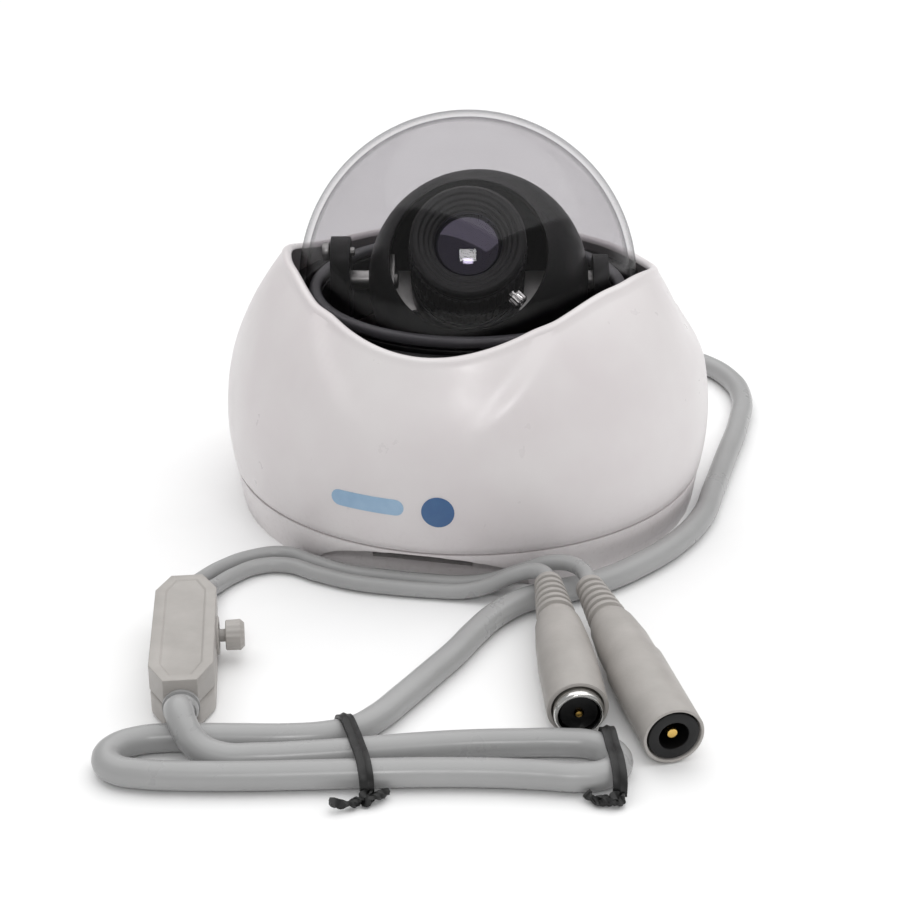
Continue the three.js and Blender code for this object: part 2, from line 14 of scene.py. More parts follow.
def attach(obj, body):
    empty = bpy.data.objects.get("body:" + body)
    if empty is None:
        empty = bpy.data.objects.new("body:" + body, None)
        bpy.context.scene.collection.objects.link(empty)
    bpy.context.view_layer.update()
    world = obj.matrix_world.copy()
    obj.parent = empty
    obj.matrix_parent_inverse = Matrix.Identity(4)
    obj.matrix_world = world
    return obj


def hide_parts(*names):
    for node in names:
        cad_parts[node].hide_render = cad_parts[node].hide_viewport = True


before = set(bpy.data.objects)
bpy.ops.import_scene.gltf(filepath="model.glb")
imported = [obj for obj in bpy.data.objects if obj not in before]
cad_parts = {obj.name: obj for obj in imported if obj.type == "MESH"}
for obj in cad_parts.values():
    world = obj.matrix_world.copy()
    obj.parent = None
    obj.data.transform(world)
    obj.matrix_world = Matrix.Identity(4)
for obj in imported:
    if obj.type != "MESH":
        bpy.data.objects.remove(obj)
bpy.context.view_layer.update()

# ---------- sizes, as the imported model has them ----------
MM = 0.001
SHELL_R = 58  # the housing's sphere
SHELL_Z = 21.5
SHELL_WALL = 2.4
SEAM_Z = 9
OPENING_LOW = 51.5  # rim at the front
OPENING_HIGH = 60.8  # rim at the sides
OPENING_BACK = 52  # rim behind the sides
OPENING_RISE = (0, 60)  # degrees from the front
OPENING_FALL = (70, 128)
DOME_R = 39.8
DOME_Z = 52.5
DOME_WALL = 1.6
FLANGE_R = 45
FLANGE_Z = 38.4
SHELF_Z = 41.6
SHELF_THICK = 2
LINER_INNER = 34.6
LINER_R = 37.6
LINER_TOP = 52
LENS_RISE = 38
BALL_R = 26
BALL_WALL = 1.8
BALL_SHIFT = 2.5
BALL_BACK = -21
WINDOW_R = 18
RING_R = 13
TRUNK_D = 5.5
LEAD_D = 3.5
GLAND_Z = 4.7
FACING_TURN = 12


def about(axis, degrees):
    return Matrix.Rotation(math.radians(degrees), 4, axis)


def shifted(x, y, z):
    return Matrix.Translation((x, y, z))


WORLD = Matrix()
FACING = about("Z", FACING_TURN)  # the camera and its laid-out lead are turned this way together
HEAD = FACING @ shifted(0, 0, DOME_Z) @ about("X", 90 - LENS_RISE)  # Z is the lens axis, X the tilt axis
# The menu box: X runs along the lead, and the joystick looks to +Y.
CONTROLLER = FACING @ shifted(-57.2, -90.2, 0) @ about("Z", -84)


def smooth_step(low, high, value):
    t = min(max((value - low) / (high - low), 0), 1)
    return t * t * (3 - 2 * t)


def sphere_radius(radius, centre, z):
    return math.sqrt(max(radius**2 - (z - centre) ** 2, 0))


# ---------- camera ----------
def add_camera():
    away, turn, rise = 450, math.radians(12), math.radians(23.5)
    centre = Vector((0, 0, SHELL_Z))
    outwards = Vector((math.sin(turn) * math.cos(rise), -math.cos(turn) * math.cos(rise), math.sin(rise)))
    data = bpy.data.cameras.new("view")
    data.lens = 73.9
    data.shift_x = -0.02
    data.shift_y = -0.056
    data.clip_start = 0.01
    camera = bpy.data.objects.new("view", data)
    camera.location = (centre + away * outwards) * MM
    camera.rotation_euler = (-outwards).to_track_quat("-Z", "Y").to_euler()
    bpy.context.collection.objects.link(camera)
    bpy.context.scene.camera = camera


add_camera()


# ---------- materials ----------
def linear(code):
    """An sRGB hex colour as linear red, green, blue and alpha."""
    channels = [int(code[i : i + 2], 16) / 255 for i in (1, 3, 5)]
    return [c / 12.92 if c <= 0.04045 else ((c + 0.055) / 1.055) ** 2.4 for c in channels] + [1]


def add_node(material, kind, sockets=None, **settings):
    """One node, with its settings, and its sockets set to a value or linked to another node's output."""
    node = material.node_tree.nodes.new(kind)
    for name, value in settings.items():
        setattr(node, name, value)
    for name, value in (sockets or {}).items():
        if isinstance(value, bpy.types.NodeSocket):
            material.node_tree.links.new(value, node.inputs[name])
        else:
            node.inputs[name].default_value = value
    return node


def new_material(name):
    material = bpy.data.materials.new(name)
    material.use_nodes = True
    material.node_tree.nodes.clear()
    return material


def pattern(material, size, detail=3.0, stretch=(1, 1, 1)):
    """Noise whose spots are about size millimetres across, as a value from 0 to 1."""
    place = add_node(material, "ShaderNodeTexCoord").outputs["Object"]
    scaled = add_node(material, "ShaderNodeMapping", {"Vector": place, "Scale": stretch}).outputs["Vector"]
    sockets = {"Vector": scaled, "Scale": 1 / (size * MM), "Detail": detail, "Roughness": 0.55}
    return add_node(material, "ShaderNodeTexNoise", sockets).outputs["Fac"]


def spread(material, value, low, high, start=0.3, end=0.7):
    """A pattern's value as a number from low to high."""
    sockets = {"Value": value, "From Min": start, "From Max": end, "To Min": low, "To Max": high}
    return add_node(material, "ShaderNodeMapRange", sockets).outputs["Result"]


def two_tone(material, value, first, second, start=0.3, end=0.7):
    ramp = add_node(material, "ShaderNodeValToRGB", {"Fac": value})
    ramp.color_ramp.elements[0].position = start
    ramp.color_ramp.elements[0].color = linear(first)
    ramp.color_ramp.elements[1].position = end
    ramp.color_ramp.elements[1].color = linear(second)
    return ramp.outputs["Color"]


def relief(material, value, depth):
    """A pattern as bumps that are depth millimetres high."""
    sockets = {"Height": value, "Distance": depth * MM, "Strength": 1.0}
    return add_node(material, "ShaderNodeBump", sockets).outputs["Normal"]


def surface(material, sockets):
    shader = add_node(material, "ShaderNodeBsdfPrincipled", sockets)
    add_node(material, "ShaderNodeOutputMaterial", {"Surface": shader.outputs["BSDF"]})
    return material


def moulded(name, first, second, rough, spots, grain, depth, ior=1.5, coat=0.0):
    """A moulded plastic: two close tones in soft spots, a mould grain, and a gloss that varies."""
    material = new_material(name)
    colour = two_tone(material, pattern(material, spots), first, second)
    gloss = spread(material, pattern(material, spots / 3, detail=6), rough - 0.05, rough + 0.07)
    normal = relief(material, pattern(material, grain, detail=2), depth)
    sockets = {"Base Color": colour, "Roughness": gloss, "Normal": normal, "IOR": ior}
    if coat:
        sockets.update({"Coat Weight": coat, "Coat Roughness": 0.12})
    return surface(material, sockets)


def metal(name, first, second, rough, scratch, depth):
    """A metal whose tone and gloss vary along fine scratches."""
    material = new_material(name)
    scratches = pattern(material, scratch, detail=4, stretch=(1, 1, 6))
    colour = two_tone(material, pattern(material, scratch * 8), first, second)
    gloss = spread(material, scratches, rough - 0.06, rough + 0.1)
    normal = relief(material, scratches, depth)
    return surface(material, {"Base Color": colour, "Metallic": 1.0, "Roughness": gloss, "Normal": normal})


# Injection-moulded ABS with a glossy mould finish: warm white, even, with a soft wide highlight.
def housing_abs():
    material = new_material("housing_abs")
    tone = two_tone(material, pattern(material, 22), "#DEDADA", "#D8D2D3")
    place = add_node(material, "ShaderNodeTexCoord").outputs["Object"]
    height = add_node(material, "ShaderNodeSeparateXYZ", {"Vector": place}).outputs["Z"]
    # Dust settles on the skin near the seam, in specks of about a millimetre.
    low = spread(material, height, 0.22, 0.0, start=2 * MM, end=20 * MM)
    specks = spread(material, pattern(material, 1.1, detail=5), 0.0, 1.0, start=0.52, end=0.7)
    dusty = add_node(material, "ShaderNodeMath", {0: low, 1: specks}, operation="MULTIPLY").outputs["Value"]
    dust = {"Factor": dusty, "A": tone, "B": linear("#B9B1AC")}
    colour = add_node(material, "ShaderNodeMix", dust, data_type="RGBA")
    gloss = spread(material, pattern(material, 6, detail=6), 0.27, 0.38)
    normal = relief(material, pattern(material, 0.9, detail=2), 0.004)
    sockets = {"Base Color": colour.outputs["Result"], "Roughness": gloss, "Normal": normal, "IOR": 1.53}
    return surface(material, sockets)


# Blow-moulded polycarbonate, lightly smoked: clear with a grey cast that deepens towards its outline.
def smoked_bubble():
    material = new_material("smoked_bubble")
    edge = add_node(material, "ShaderNodeLayerWeight", {"Blend": 0.5}).outputs["Facing"]
    tint = two_tone(material, edge, "#ECEBEC", "#A6A6A8", start=0.76, end=1.0)
    clear = add_node(material, "ShaderNodeBsdfTransparent", {"Color": tint}).outputs["BSDF"]
    smears = spread(material, pattern(material, 14, detail=5), 0.02, 0.07)
    bright = {"Color": (1, 1, 1, 1), "Roughness": smears}
    shine = add_node(material, "ShaderNodeBsdfGlossy", bright).outputs["BSDF"]
    # The mirrored share grows from very little face on to a fifth at the outline.
    steep = add_node(material, "ShaderNodeMath", {0: edge, 1: 5.0}, operation="POWER").outputs["Value"]
    mirrored = spread(material, steep, 0.012, 0.2, start=0.0, end=1.0)
    both = add_node(material, "ShaderNodeMixShader", {0: mirrored, 1: clear, 2: shine}).outputs["Shader"]
    add_node(material, "ShaderNodeOutputMaterial", {"Surface": both})
    return material


# Ground and coated optical glass: near black from in front, with a faint violet bloom in its reflections.
def lens_coating():
    material = new_material("lens_coating")
    bloom = two_tone(material, pattern(material, 9), "#07070C", "#0E0C18")
    gloss = spread(material, pattern(material, 3, detail=6), 0.015, 0.05)
    coat = {"Coat Weight": 1.0, "Coat Roughness": 0.02, "Coat Tint": linear("#D8C8FF")}
    return surface(material, {"Base Color": bloom, "Roughness": gloss, "IOR": 1.6, **coat})


# Glass fibre board under green solder mask, with copper runs showing as lighter lines.
def solder_mask():
    material = new_material("solder_mask")
    place = add_node(material, "ShaderNodeTexCoord").outputs["Object"]
    tones = {"Color1": linear("#1C5A38"), "Color2": linear("#19502F"), "Mortar": linear("#3C7E52")}
    pitch = {"Scale": 1 / (3 * MM), "Mortar Size": 0.05, "Brick Width": 0.9, "Row Height": 0.22}
    sockets = {"Vector": place, **tones, **pitch}
    runs = add_node(material, "ShaderNodeTexBrick", sockets, offset=0.37, squash=0.6)
    gloss = spread(material, pattern(material, 4), 0.28, 0.4)
    normal = relief(material, runs.outputs["Fac"], 0.03)
    return surface(material, {"Base Color": runs.outputs["Color"], "Roughness": gloss, "Normal": normal})


HOUSING = housing_abs()
BUBBLE = smoked_bubble()
GLASS = lens_coating()
BOARD = solder_mask()
# Fine-grained moulded ABS, black through and through, dull enough to swallow most of the light.
BLACK = moulded("black_abs", "#050506", "#0A0A0B", 0.42, spots=12, grain=0.7, depth=0.002, ior=1.4)
# Moulded ABS, charcoal grey, a little smoother than the black parts. On the liner's lip this grey is painted
# sheen: the black lip drawn lighter for the light from above.
CHARCOAL_AND_SHEEN = moulded("charcoal_abs_and_painted_sheen", "#4C4C4F", "#565659", 0.36, spots=10, grain=0.6, depth=0.008)
# Soft moulded rubber: black, matt and slightly dusty.
RUBBER = moulded("seal_rubber", "#151515", "#202020", 0.78, spots=8, grain=0.4, depth=0.02)
# Extruded soft PVC jacket: light grey, satin, with a faint waviness along it.
JACKET = moulded("pvc_jacket", "#9A9A9A", "#A2A2A2", 0.3, spots=30, grain=2.4, depth=0.02)
# Moulded PVC over the plugs, and the menu box's ABS: warm grey, matt.
BEIGE = moulded("beige_pvc", "#A09C98", "#ABA7A3", 0.42, spots=7, grain=0.6, depth=0.02)
# Natural nylon, as connector bodies are: white and satin.
WHITE_NYLON = moulded("white_insulator", "#DAD8D4", "#E4E2DE", 0.4, spots=4, grain=0.4, depth=0.005)
# Plastic-covered tie wire: black, a little shiny on its ribs.
TIE = moulded("tie_plastic", "#030303", "#070707", 0.45, spots=5, grain=0.7, depth=0.008)
# Printed inks under a clear coat.
PALE_INK = moulded("pale_ink", "#8FAECB", "#9AB8D2", 0.35, spots=3, grain=0.5, depth=0.003, coat=0.3)
DEEP_INK = moulded("deep_ink", "#2C5688", "#34608F", 0.35, spots=3, grain=0.5, depth=0.003, coat=0.3)
# Zinc-plated steel: bright but soft, from the rolled wire under the plating.
ZINC = metal("zinc_steel", "#9E9E9C", "#B2B2AF", 0.34, scratch=0.5, depth=0.006)
# Polished nickel plate.
NICKEL = metal("nickel_plate", "#C9C9C7", "#D9D8D5", 0.14, scratch=0.5, depth=0.002)
# Gold flash on brass.
GOLD = metal("gold_flash", "#CFA95A", "#D9B76C", 0.22, scratch=0.4, depth=0.002)


# ---------- cords: one trunk cable with its hank, and two tail leads ----------
# Points are in millimetres, in the frame that the laid-out lead is turned in.
TRUNK = [
    (14.7, 69.1, 4.7), (16.6, 77, 4), (23, 85.5, 3), (34, 88.5, 2.95),
    (46, 83.5, 2.95), (57, 75.5, 2.95), (66.5, 67.5, 2.95), (72, 57.5, 2.95),
    (73.7, 45, 2.95), (70.5, 27, 2.95), (64.5, 6, 2.95), (59, -13, 2.95),
    (55.4, -25, 2.95), (48.2, -38.2, 2.95), (37.9, -50, 2.95), (28.4, -57.6, 2.95),
    (20, -61.7, 2.95), (12.6, -65.2, 2.95), (6.2, -71.4, 2.95), (1.5, -79, 2.95),
    (-2.6, -87, 2.95), (-7.6, -95.3, 2.95), (-12.9, -103.9, 2.95), (-17.6, -111, 2.95),
]
# From the left tie out to the left end, back to the right end, and home to the menu box, over the
# first strand.
FOLDS = [
    (-21.6, -114.9, 2.95), (-27, -116.9, 2.95), (-34, -117.7, 2.95), (-42, -117.7, 2.95),
    (-50, -117.6, 2.95), (-57, -117.7, 2.95), (-62.4, -118.7, 2.95), (-66.2, -121.2, 2.95),
    (-67.2, -124.7, 2.95), (-65, -127.9, 2.95), (-60, -129.4, 2.95), (-52, -130, 2.95),
    (-42, -130.1, 2.95), (-30, -129.7, 2.95), (-18, -129.2, 2.95), (-6, -128.9, 2.95),
    (5, -129.1, 2.95), (14, -129.8, 2.95), (20.4, -130.4, 2.95), (25.4, -129.4, 2.95),
    (27.8, -126.2, 2.95), (26.8, -122.5, 2.95), (23.2, -120, 2.95), (18, -119.3, 2.95),
    (10, -119.4, 2.95), (0, -119.8, 2.95), (-10, -120.8, 2.95), (-20, -122.2, 2.95),
    (-30, -123.4, 2.95), (-39, -124.1, 2.95), (-46, -124, 3.1), (-50.6, -122.6, 4.6),
    (-53.2, -120.1, 7.2), (-54.4, -117.4, 8.75), (-54.8, -115.2, 7.6), (-54.8, -113, 5.9),
]
VIDEO_LEAD = [
    (-57.5, -68.7, 5.7), (-57.1, -64.6, 4.4), (-55.4, -58.6, 2.4), (-51.9, -52.8, 1.95),
    (-46.8, -48.6, 1.95), (-40.6, -48, 1.95), (-33.2, -52.1, 1.95), (-25, -55.9, 1.95),
    (-16.4, -58, 1.95), (-7.6, -59.4, 1.95), (-0.8, -60.4, 2.4), (5, -61.2, 4.3),
    (9.8, -61.6, 6.8), (13.8, -62.4, 8.4), (16.4, -64.4, 8.8), (17, -67.2, 8.5),
]
POWER_LEAD = [
    (-61.4, -68.3, 5.7), (-61.1, -63.6, 4.4), (-59.4, -56.4, 2.4), (-55.2, -49.4, 1.95),
    (-48.8, -44.2, 1.95), (-41.5, -42.6, 1.95), (-34.4, -46.8, 1.95), (-26.4, -51.3, 1.95),
    (-17.6, -53.6, 1.95), (-8.6, -55.4, 1.95), (-0.2, -56.6, 2.2), (6.4, -57.4, 3.7),
    (12.4, -58.2, 6.4), (18.2, -59.2, 8.7), (22.8, -61.4, 9.3), (25.2, -65, 9),
    (25.6, -68.7, 8.5),
]


def laid_cord(name, points, diameter, *nodes):
    """A round cord as one smooth line through its points."""
    data = bpy.data.curves.new(name, "CURVE")
    data.dimensions = "3D"
    data.bevel_depth = diameter / 2 * MM
    data.bevel_resolution = 7
    data.resolution_u = 10
    data.use_fill_caps = True
    line = data.splines.new("BEZIER")
    line.bezier_points.add(len(points) - 1)
    for knot, point in zip(line.bezier_points, points):
        knot.co = (FACING @ Vector(point)) * MM
        knot.handle_left_type = knot.handle_right_type = "AUTO"
    data.materials.append(JACKET)
    cord = bpy.data.objects.new(name, data)
    bpy.context.collection.objects.link(cord)
    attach(cord, "root")
    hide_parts(*nodes)
    return cord


trunk = laid_cord("trunk", TRUNK + FOLDS, TRUNK_D, "trunk_cable", "cable_hank")
video_tail = laid_cord("video_tail", VIDEO_LEAD, LEAD_D, "video_lead")
power_tail = laid_cord("power_tail", POWER_LEAD, LEAD_D, "power_lead")


# ---------- shaping ----------
def turned(profile, segments=96):
    """A profile of (radius, height) points turned about Z, closed on itself unless it starts at radius 0."""
    shape = bmesh.new()
    points = [shape.verts.new((radius, 0, z)) for radius, z in profile]
    ends = points[1:] if profile[0][0] == 0 else points[1:] + points[:1]
    for a, b in zip(points, ends):
        shape.edges.new((a, b))
    bmesh.ops.spin(
        shape,
        geom=shape.verts[:] + shape.edges[:],
        axis=(0, 0, 1),
        cent=(0, 0, 0),
        angle=2 * math.pi,
        steps=segments,
        use_merge=True,
    )
    bmesh.ops.remove_doubles(shape, verts=shape.verts, dist=1e-4)
    bmesh.ops.recalc_face_normals(shape, faces=shape.faces)
    return shape


def prism(outline, low, high):
    """A flat outline of (x, y) points, standing from one height to another."""
    shape = bmesh.new()
    face = shape.faces.new([shape.verts.new((x, y, low)) for x, y in outline])
    made = bmesh.ops.extrude_face_region(shape, geom=[face])["geom"]
    lifted = [part for part in made if isinstance(part, bmesh.types.BMVert)]
    bmesh.ops.translate(shape, verts=lifted, vec=(0, 0, high - low))
    bmesh.ops.recalc_face_normals(shape, faces=shape.faces)
    return shape


def eased(shape, width, above=30, segments=3):
    """Rounds every edge that turns more sharply than the given angle."""
    sharp = [edge for edge in shape.edges if edge.calc_face_angle(0) > math.radians(above)]
    bmesh.ops.bevel(
        shape,
        geom=sharp,
        offset=width,
        offset_type="OFFSET",
        segments=segments,
        profile=0.5,
        affect="EDGES",
        clamp_overlap=True,
        material=-1,
    )
    return shape


def placed(shape, place):
    shape.transform(place)
    return shape


def joined(*shapes):
    """Several bodies as one piece."""
    whole = bmesh.new()
    for shape in shapes:
        data = bpy.data.meshes.new("part")
        shape.to_mesh(data)
        shape.free()
        whole.from_mesh(data)
        bpy.data.meshes.remove(data)
    return whole


def finished(name, shape, body, look, *nodes, place=WORLD, sharp=32):
    """A shape in millimetres made a piece in metres, smooth but for its sharp edges, on its body."""
    shape.transform(Matrix.Scale(MM, 4) @ place)
    bmesh.ops.recalc_face_normals(shape, faces=shape.faces)
    for face in shape.faces:
        face.smooth = True
    for edge in shape.edges:
        edge.smooth = edge.calc_face_angle(0) < math.radians(sharp)
    data = bpy.data.meshes.new(name)
    shape.to_mesh(data)
    shape.free()
    data.materials.append(look)
    piece = bpy.data.objects.new(name, data)
    bpy.context.collection.objects.link(piece)
    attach(piece, body)
    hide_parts(*nodes)
    return piece


def circle_points(radius, count, start=0.0, sweep=360.0, x=0.0, y=0.0):
    """Points round an arc, without its last point when the arc is a whole turn."""
    steps = count if sweep == 360 else count - 1
    angles = [math.radians(start + sweep * i / steps) for i in range(count)]
    return [(x + radius * math.cos(a), y + radius * math.sin(a)) for a in angles]


# ---------- cover ----------
COVER_COLUMNS = 200
SKIN_ROWS = 44  # from the seam up to the lip
LIP_ROWS = 7
LINING_ROWS = 18  # from the lip back down to the seam
BUBBLE_ROOM = DOME_R + 0.6  # the bubble passes through with this radius to spare


def opening_height(turn):
    rise = (OPENING_HIGH - OPENING_LOW) * smooth_step(*OPENING_RISE, abs(turn))
    return OPENING_LOW + rise - (OPENING_HIGH - OPENING_BACK) * smooth_step(*OPENING_FALL, abs(turn))


def skin_radius(turn, z):
    """The housing's outside: a sphere, sunk a little under the front of the opening, flatter at the back."""
    crease = 16 + 1.08 * (z - 38)  # degrees from the front, wider as the height grows
    inside_crease = 1 - smooth_step(crease - 5, crease + 1.5, abs(turn))
    collar = 1.5 * smooth_step(33, 48, z) * inside_crease
    rising, fading = smooth_step(33, 47, z), 1 - 0.55 * smooth_step(52, 61.5, z)
    behind = smooth_step(70, 105, abs(turn))
    shoulder = 3 * rising * fading * behind
    return sphere_radius(SHELL_R, SHELL_Z, z) - collar - shoulder


def lining_radius(turn, z):
    """The housing's inside, which stays clear of the bubble."""
    bubble = sphere_radius(BUBBLE_ROOM, DOME_Z, z) if z > DOME_Z else BUBBLE_ROOM
    return max(skin_radius(turn, z) - SHELL_WALL, bubble)


def cover_point(turn, row):
    """Radius and height of the cover's section at one turn: up the skin, over the lip, down the lining."""
    edge = opening_height(turn)
    half = (skin_radius(turn, edge) - lining_radius(turn, edge)) / 2
    top = edge - half
    if row < SKIN_ROWS:
        z = SEAM_Z + (top - SEAM_Z) * row / (SKIN_ROWS - 1)
        seam_easing = 0.5 * (1 - smooth_step(0, 0.9, z - SEAM_Z))
        return skin_radius(turn, z) - seam_easing, z
    row -= SKIN_ROWS
    if row < LIP_ROWS:
        over = math.pi * (row + 1) / (LIP_ROWS + 1)
        middle = (skin_radius(turn, top) + lining_radius(turn, top)) / 2
        reach = (skin_radius(turn, top) - lining_radius(turn, top)) / 2
        return middle + reach * math.cos(over), top + half * math.sin(over)
    row -= LIP_ROWS
    z = top + (SEAM_Z - top) * row / (LINING_ROWS - 1)
    return lining_radius(turn, z), z


def cover_skin():
    rows = SKIN_ROWS + LIP_ROWS + LINING_ROWS
    shape = turned([(1, row) for row in range(rows)], COVER_COLUMNS)
    for vert in shape.verts:
        x, y, row = vert.co
        turn = math.degrees(math.atan2(x, -y))
        radius, z = cover_point(turn, round(row))
        out = Vector((x, y)).normalized() * radius
        vert.co = (out.x, out.y, z)
    return shape


def clamp_shelf():
    """The ledge inside the cover that the bubble's flange is clamped to."""
    outer, top = 51.2, SHELF_Z + SHELF_THICK
    return turned([(BUBBLE_ROOM, SHELF_Z), (outer, SHELF_Z), (outer, top), (BUBBLE_ROOM, top)])


def on_skin(shape, proud):
    """Lays a flat shape, drawn in X and Z, on the front of the housing. Its Y is how far it stands out."""
    for vert in shape.verts:
        x, y, z = vert.co
        radius = SHELL_R + proud * y
        vert.co.y = -math.sqrt(radius**2 - x**2 - (z - SHELL_Z) ** 2)
    return shape


def printed_mark(outline, x, z):
    """A thin flat mark on the front of the housing, with its face cut fine enough to follow the curve."""
    deep, proud = -3, 1
    shape = prism(outline, deep, proud)
    for vert in shape.verts:
        vert.co = (vert.co.x + x, vert.co.z, vert.co.y + z)
    for turn in range(-20, 21, 2):
        cut_place = (SHELL_R * math.sin(math.radians(turn)), 0, 0)
        everything = shape.verts[:] + shape.edges[:] + shape.faces[:]
        bmesh.ops.bisect_plane(shape, geom=everything, plane_co=cut_place, plane_no=(1, 0, 0))
    return on_skin(shape, 0.12)


def quarter_round(radius, steps):
    """Points from a sphere's middle height up to its top, as (radius, height), the last one on the axis."""
    angles = [math.radians(90 * i / steps) for i in range(steps)]
    return [(radius * math.cos(a), DOME_Z + radius * math.sin(a)) for a in angles] + [(0, DOME_Z + radius)]


def add_badge():
    bar_end, radius = 6.6, 1.9
    right = circle_points(radius, 9, -90, 180, x=bar_end)
    left = circle_points(radius, 9, 90, 180, x=-bar_end)
    finished("badge_mark", printed_mark(right + left, -10.4, 20.3), "cover", PALE_INK, "badge_bar")
    finished("badge_dot", printed_mark(circle_points(3.6, 32), 5.6, 20), "cover", DEEP_INK)


def add_bubble():
    wall, flange_top = DOME_R - DOME_WALL, FLANGE_Z + 1.6
    foot = [(wall, FLANGE_Z), (FLANGE_R, FLANGE_Z), (FLANGE_R, flange_top), (DOME_R, flange_top)]
    inside = list(reversed(quarter_round(wall, 30)))
    bubble = turned(inside + foot + quarter_round(DOME_R, 30), 128)
    finished("bubble", bubble, "cover", BUBBLE, "clear_dome", sharp=50)


def add_inner_rings():
    low, high, inner, outer = SHELF_Z + SHELF_THICK + 0.3, 49.5, DOME_R + 0.5, 45.5
    # The trim ring is black to darken the gap between the housing's rim and the bubble: painted shade over a
    # shelf that lies in shadow.
    trim = turned([(inner, low), (outer, low), (outer, high - 1.1), (42, high), (inner, high)], 128)
    finished("trim", eased(trim, 0.4), "cover", BLACK, "trim_ring")
    foot_low, foot_high, foot_r, lip_low = 34.2, 35.9, 44.2, 49.5
    body = [(LINER_INNER, foot_low), (foot_r, foot_low), (foot_r, foot_high), (LINER_R, foot_high)]
    body += [(LINER_R, lip_low - 0.1), (LINER_INNER, lip_low - 0.1)]
    finished("liner", eased(turned(body, 128), 0.3), "cover", BLACK, "inner_liner")
    # The lip is black plastic like the liner, drawn charcoal grey: painted sheen for the light that its
    # rounded top catches from above.
    lip = [(LINER_INNER, lip_low), (LINER_R, lip_low), (LINER_R, LINER_TOP), (LINER_INNER, LINER_TOP)]
    finished("liner_lip_painted_sheen", eased(turned(lip, 128), 1.1, segments=5), "cover", CHARCOAL_AND_SHEEN)


def add_cover():
    finished("cover_skin", joined(cover_skin(), clamp_shelf()), "cover", HOUSING, "cover_shell")
    add_badge()
    add_bubble()
    add_inner_rings()


# ---------- camera ball and lens ----------
def camera_ball():
    """A hollow ball with a round window about the lens axis, which runs beside the ball's own centre."""
    rows = 40
    shape = turned([(1, row) for row in range(2 * rows)], 120)
    centre = Vector((BALL_SHIFT, 0, 0))
    for vert in shape.verts:
        x, y, row = vert.co
        row = round(row)
        radius = BALL_R if row < rows else BALL_R - BALL_WALL
        along = (rows - 1 - row) / (rows - 1) if row < rows else (row - rows) / (rows - 1)
        way = Vector((x, y, 0)).normalized()
        window = WINDOW_R * way - centre
        window.z = math.sqrt(radius**2 - window.x**2 - window.y**2)
        back = sphere_radius(radius, 0, BALL_BACK) * way
        back.z = BALL_BACK
        vert.co = centre + radius * window.slerp(back, along).normalized()
    bmesh.ops.recalc_face_normals(shape, faces=shape.faces)
    return eased(shape, 0.5, above=50)


def fluted(profile, outer, teeth, deep):
    """A turned ring whose outside is cut into even flutes."""
    shape = turned(profile, teeth * 6)
    for vert in shape.verts:
        radius = math.hypot(vert.co.x, vert.co.y)
        if radius > outer - 0.01:
            wave = 0.5 - 0.5 * math.cos(teeth * math.atan2(vert.co.y, vert.co.x))
            keep = 1 - deep * wave / radius
            vert.co.x *= keep
            vert.co.y *= keep
    return shape


def grip_ring(low, high, outer):
    return [
        (10.9, low), (outer - 0.5, low), (outer - 0.5, low + 0.7), (outer, low + 0.9), (outer, high - 0.9),
        (outer - 0.5, high - 0.7), (outer - 0.5, high), (10.9, high),
    ]


def thumb_screw(ring_radius):
    """A small knurled screw, standing out along X."""
    foot = ring_radius + 1.3
    top = ring_radius + 3.8
    socket = [(0.5, top), (0.4, top - 0.5), (0, top - 0.5)]
    head = fluted([(0, foot), (1.9, foot), (1.9, top - 0.4), (1.5, top)] + socket, 1.9, 14, 0.22)
    shank_low, shank_top = ring_radius + 0.3, foot + 0.1
    shank = turned([(0, shank_low), (0.9, shank_low), (0.9, shank_top), (0, shank_top)], 24)
    return placed(joined(head, shank), about("Y", 90))


def add_camera_head():
    finished("ball", camera_ball(), "tilt", BLACK, "camera_ball", place=HEAD)
    barrel = turned([
        (8.6, 4), (13, 4), (13, 5.2), (10.6, 5.2), (10.6, 12.7), (10.4, 12.8), (10.4, 13.2), (10.6, 13.3),
        (10.6, 25), (8.6, 25),
    ])
    finished("barrel", eased(barrel, 0.15), "camera", BLACK, "lens_barrel", place=HEAD)
    zoom_grip = fluted(grip_ring(5.6, 12.6, RING_R), RING_R, 44, 0.35)
    finished("zoom_grip", zoom_grip, "zoom", BLACK, "zoom_ring", place=HEAD)
    focus = RING_R + 0.4
    focus_grip = fluted(grip_ring(13.4, 24.6, focus), focus, 46, 0.4)
    finished("focus_grip", focus_grip, "focus", BLACK, "focus_ring", place=HEAD)
    zoom_lock = HEAD @ about("Z", 135) @ shifted(0, 0, 9.1)
    finished("zoom_lock", thumb_screw(RING_R), "zoom", ZINC, "zoom_lock_screw", place=zoom_lock)
    focus_lock = HEAD @ about("Z", -45) @ shifted(0, 0, 19.5)
    finished("focus_lock", thumb_screw(focus), "focus", NICKEL, "focus_lock_screw", place=focus_lock)
    # The bezel steps down to the glass in narrow shoulders, each of which holds a line of light.
    bezel = turned([
        (7.6, 25.3), (RING_R, 25.3), (RING_R, 27.9), (12.3, 28.6), (11.2, 28.6), (10.9, 28), (10, 28),
        (9.7, 27.3), (8.9, 27.3), (8.7, 26.5), (8, 26.4), (7.6, 25.8),
    ])
    finished("bezel", eased(bezel, 0.18), "camera", BLACK, "lens_bezel", place=HEAD)
    # The glass bulges outwards: its face is half an ellipse, drawn from its rim to the middle.
    glass_r, back, rim, bulge = 8.3, 20, 24, 2.5
    angles = [math.radians(a) for a in range(90, 0, -9)]
    crown = [(glass_r * math.sin(a), rim + bulge * math.cos(a)) for a in angles]
    glass = turned([(0, back), (glass_r, back)] + crown + [(0, rim + bulge)])
    finished("glass", glass, "camera", GLASS, "front_glass", place=HEAD)


